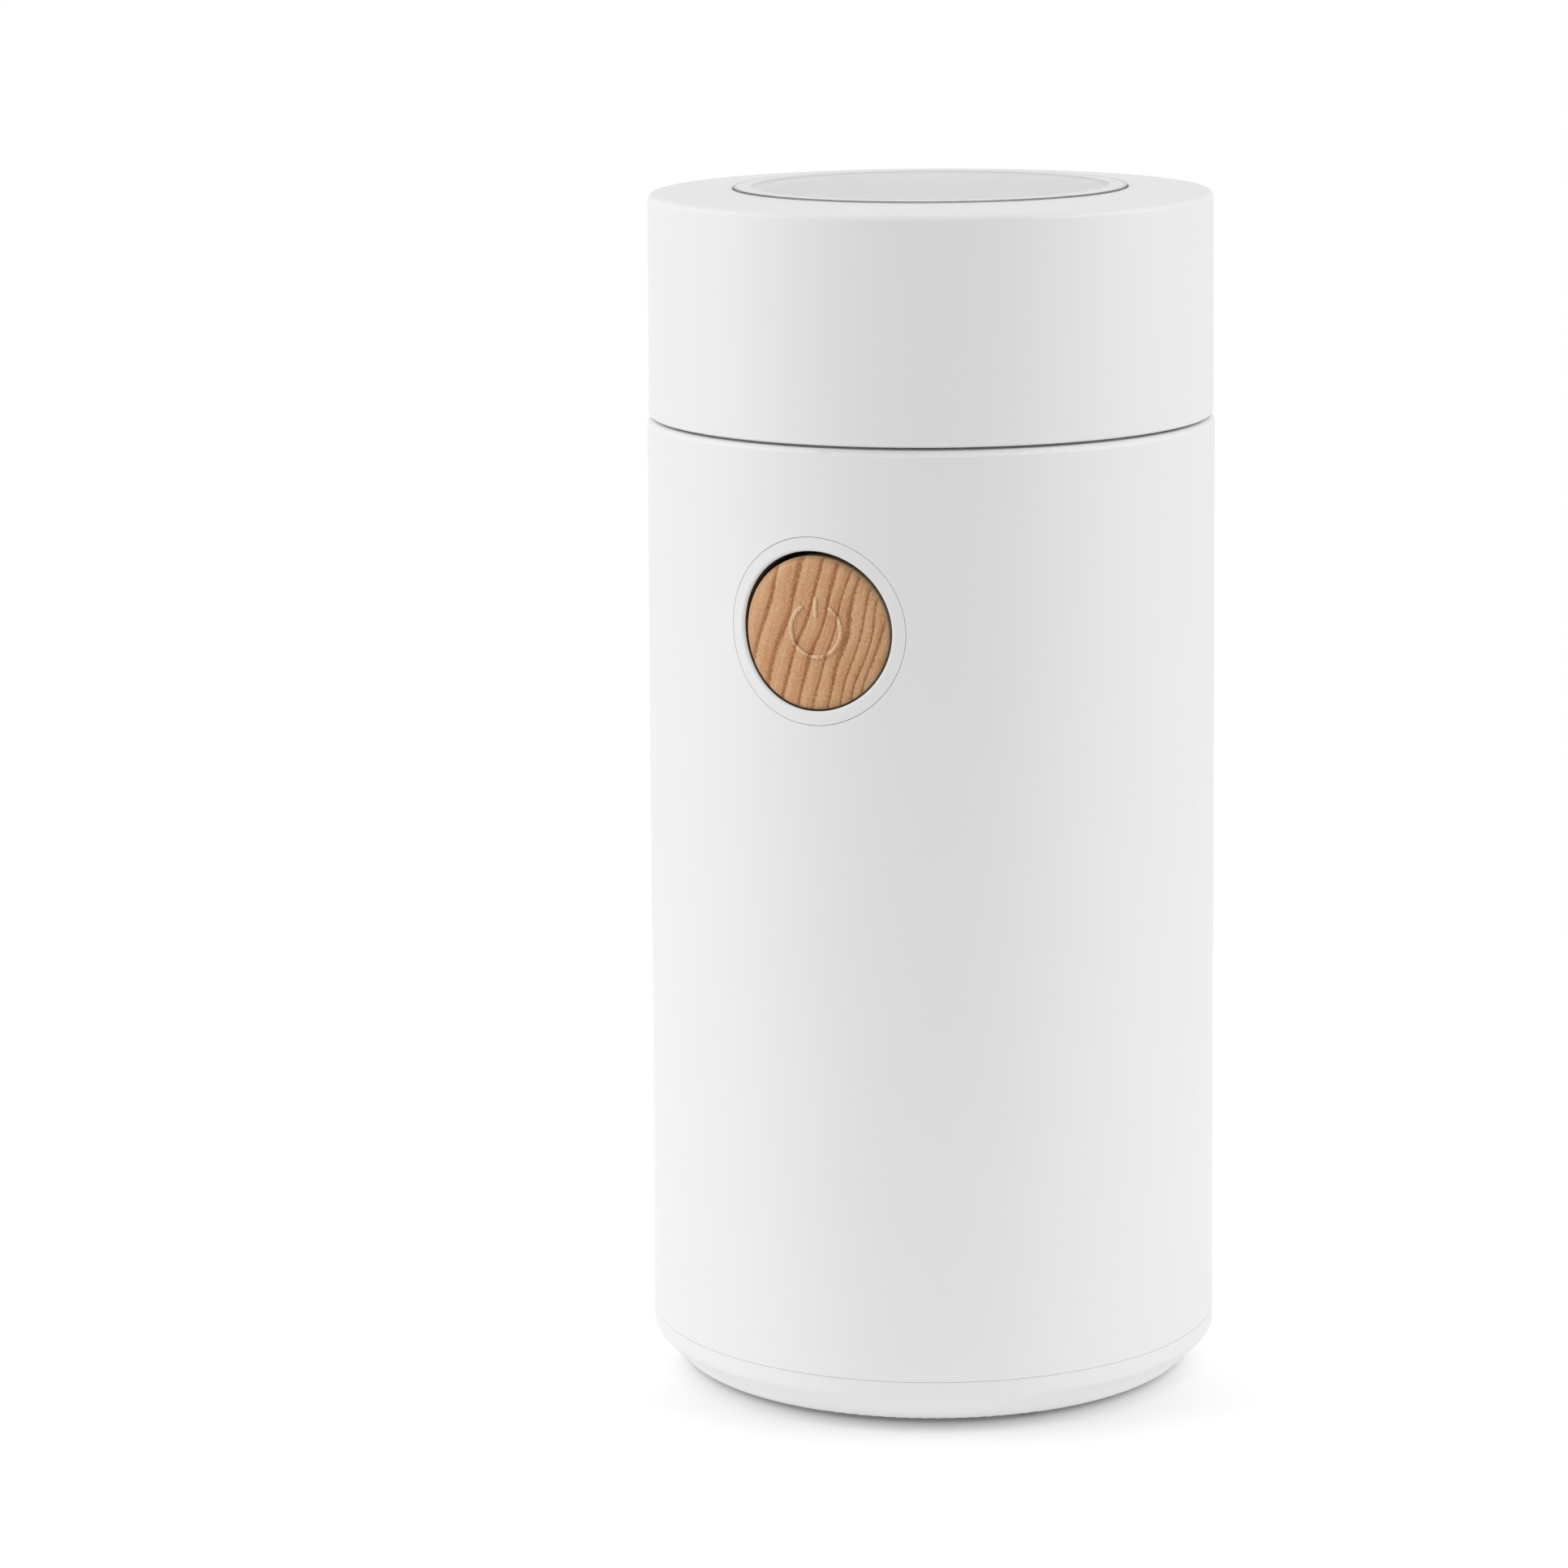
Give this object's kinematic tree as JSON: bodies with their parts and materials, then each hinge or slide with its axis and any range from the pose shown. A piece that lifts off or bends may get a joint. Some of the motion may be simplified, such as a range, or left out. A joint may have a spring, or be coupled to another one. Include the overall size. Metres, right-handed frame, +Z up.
{
  "type": "electric spice grinder",
  "caption": "Compact round electric spice grinder: lift-off lid with a clear window, steel bowl with a spinning blade, push button and motor in a tapered housing.",
  "frame": {"origin": "on the table under the middle of the base", "axes": "+Z up along the blade's axis; the button faces -Y, the cord gland +Y"},
  "size_m": [0.0854, 0.0854, 0.1776],
  "materials": {
    "white_plastic": "satin moulded white plastic",
    "wood_look": "satin wood-look plastic",
    "clear_plastic": "clear polished plastic",
    "silicone": "translucent grey silicone",
    "black_rubber": "matte black rubber",
    "white_rubber": "matte white rubber",
    "bowl_steel": "brushed stainless steel",
    "shaft_steel": "ground steel",
    "plated_steel": "zinc-plated steel",
    "spring_steel": "spring wire",
    "core_steel": "varnished laminations",
    "copper": "enamelled copper wire and bars",
    "brass": "plain brass",
    "bronze": "sintered bronze",
    "ferrite": "dark ferrite",
    "carbon": "pressed carbon",
    "black_plastic": "black glass-filled plastic",
    "red_plastic": "red plastic",
    "board_green": "green coated board",
    "capacitor_yellow": "yellow box capacitor",
    "varistor_blue": "blue dipped disc",
    "terminal_green": "green terminal block"
  },
  "bodies": {
    "housing": {"base_cover": "white_plastic", "base_screws": "plated_steel", "board_screws": "plated_steel", "bowl_gasket": "silicone", "bridge_rectifier": "black_plastic", "brush_holders": "brass", "brush_springs": "spring_steel", "button_bezel": "white_plastic", "button_spring": "spring_steel", "carbon_brushes": "carbon", "circuit_board": "board_green", "cord_gland": "white_rubber", "grinding_bowl": "bowl_steel", "housing_shell": "white_plastic", "interlock_spring": "spring_steel", "interlock_switch": "black_plastic", "motor_bearings": "shaft_steel", "motor_can": "plated_steel", "motor_damper": "black_rubber", "motor_end_bell": "black_plastic", "motor_magnets": "ferrite", "motor_mount": "black_plastic", "mount_screws": "plated_steel", "noise_capacitor": "capacitor_yellow", "power_switch": "black_plastic", "rubber_feet": "black_rubber", "shaft_bushing": "bronze", "shaft_seal": "silicone", "switch_bracket": "plated_steel", "terminal_block": "terminal_green", "thermal_protector": "black_plastic", "top_deck": "white_plastic", "varistor": "varistor_blue"},
    "lid": {"lid_shell": "white_plastic", "lid_window": "clear_plastic", "lid_liner": "clear_plastic", "lid_seal": "silicone"},
    "button": {"button_cap": "wood_look", "button_carrier": "black_plastic"},
    "plunger": {"switch_plunger": "red_plastic"},
    "interlock": {"interlock_pin": "shaft_steel"},
    "rotor": {"motor_shaft": "shaft_steel", "armature_core": "core_steel", "armature_windings": "copper", "commutator": "copper", "cooling_fan": "black_plastic", "blade": "bowl_steel", "blade_nut": "black_plastic"}
  },
  "joints": [
    {"name": "lid_lift", "type": "slide", "parent": "housing", "child": "lid", "axis": [0, 0, 1], "range_m": [0, 0.08]},
    {"name": "button_press", "type": "slide", "parent": "housing", "child": "button", "axis": [0, 1, 0], "range_m": [0, 0.002], "stiffness_N_per_m": 300, "springref_m": -0.0015, "deforming": ["button_spring"]},
    {"name": "switch_plunger_travel", "type": "slide", "parent": "housing", "child": "plunger", "axis": [0, 1, 0], "range_m": [0, 0.002]},
    {"name": "interlock_pin_travel", "type": "slide", "parent": "housing", "child": "interlock", "axis": [0, 0, 1], "range_m": [0, 0.0025], "deforming": ["interlock_spring"]},
    {"name": "rotor_spin", "type": "hinge", "parent": "housing", "child": "rotor", "pos_m": [0, 0, 0.11], "axis": [0, 0, 1], "continuous": true}
  ],
  "couplings": [
    {"joint": "switch_plunger_travel", "follows": "button_press", "ratio": 1},
    {"joint": "interlock_pin_travel", "follows": "lid_lift", "ratio": 0.03125}
  ]
}
